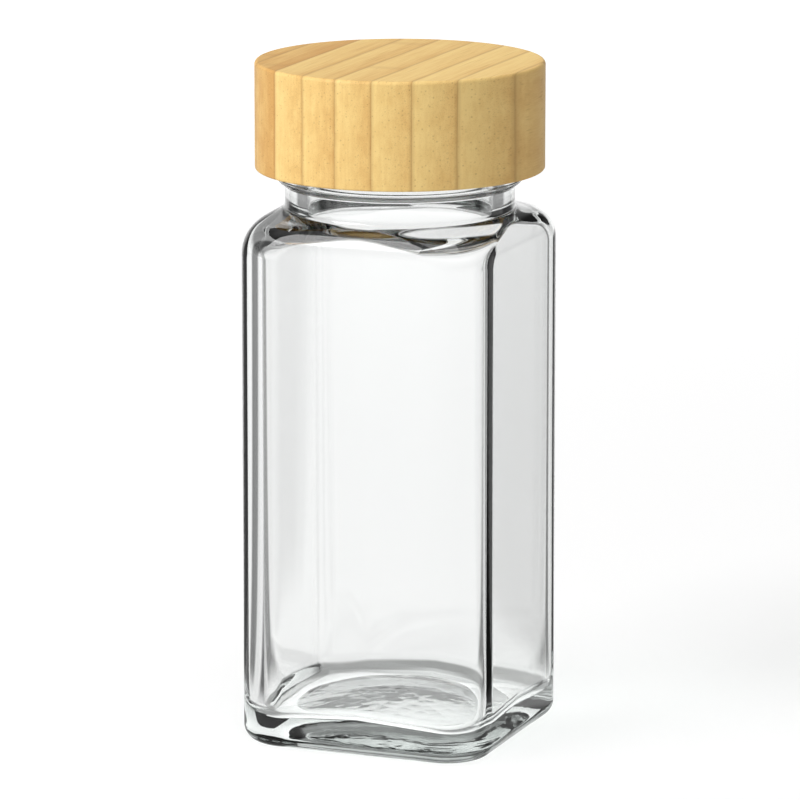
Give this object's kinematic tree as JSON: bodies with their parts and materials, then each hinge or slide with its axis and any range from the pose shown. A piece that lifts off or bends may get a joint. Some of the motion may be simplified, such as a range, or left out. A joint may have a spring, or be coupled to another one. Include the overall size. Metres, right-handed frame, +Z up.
{
  "type": "spice jar",
  "caption": "Square clear glass spice jar with a round bamboo screw lid, a threaded inner cap, a sealing disc and a shaker insert.",
  "frame": {"origin": "centre of the jar's base, on the surface it stands on", "axes": "+Z up along the jar's and the lid's axis; the body's flat sides face +X, -X, +Y and -Y"},
  "size_m": [0.047, 0.047, 0.1111],
  "materials": {
    "clear_glass": "clear, fire polished",
    "white_plastic": "moulded, semi gloss",
    "foam": "smooth closed foam",
    "bamboo": "laminated bamboo, sanded, thin clear coat"
  },
  "bodies": {
    "jar": {"glass_jar": "clear_glass"},
    "sifter": {"sifter": "white_plastic"},
    "seal": {"sealing_disc": "foam"},
    "lid": {"inner_cap": "white_plastic", "bamboo_lid": "bamboo"}
  },
  "joints": [
    {"name": "sifter_pull", "type": "slide", "parent": "jar", "child": "sifter", "axis": [0, 0, 1], "range_m": [0, 0.014]},
    {"name": "lid_rise", "type": "slide", "parent": "sifter", "child": "seal", "axis": [0, 0, 1], "range_m": [0, 0.01694]},
    {"name": "lid_turn", "type": "hinge", "parent": "seal", "child": "lid", "pos_m": [0, 0, 0.1], "axis": [0, 0, 1], "range_deg": [0, 1440]}
  ],
  "couplings": [
    {"joint": "lid_rise", "follows": "lid_turn", "m_per_rad": 0.00067375}
  ]
}
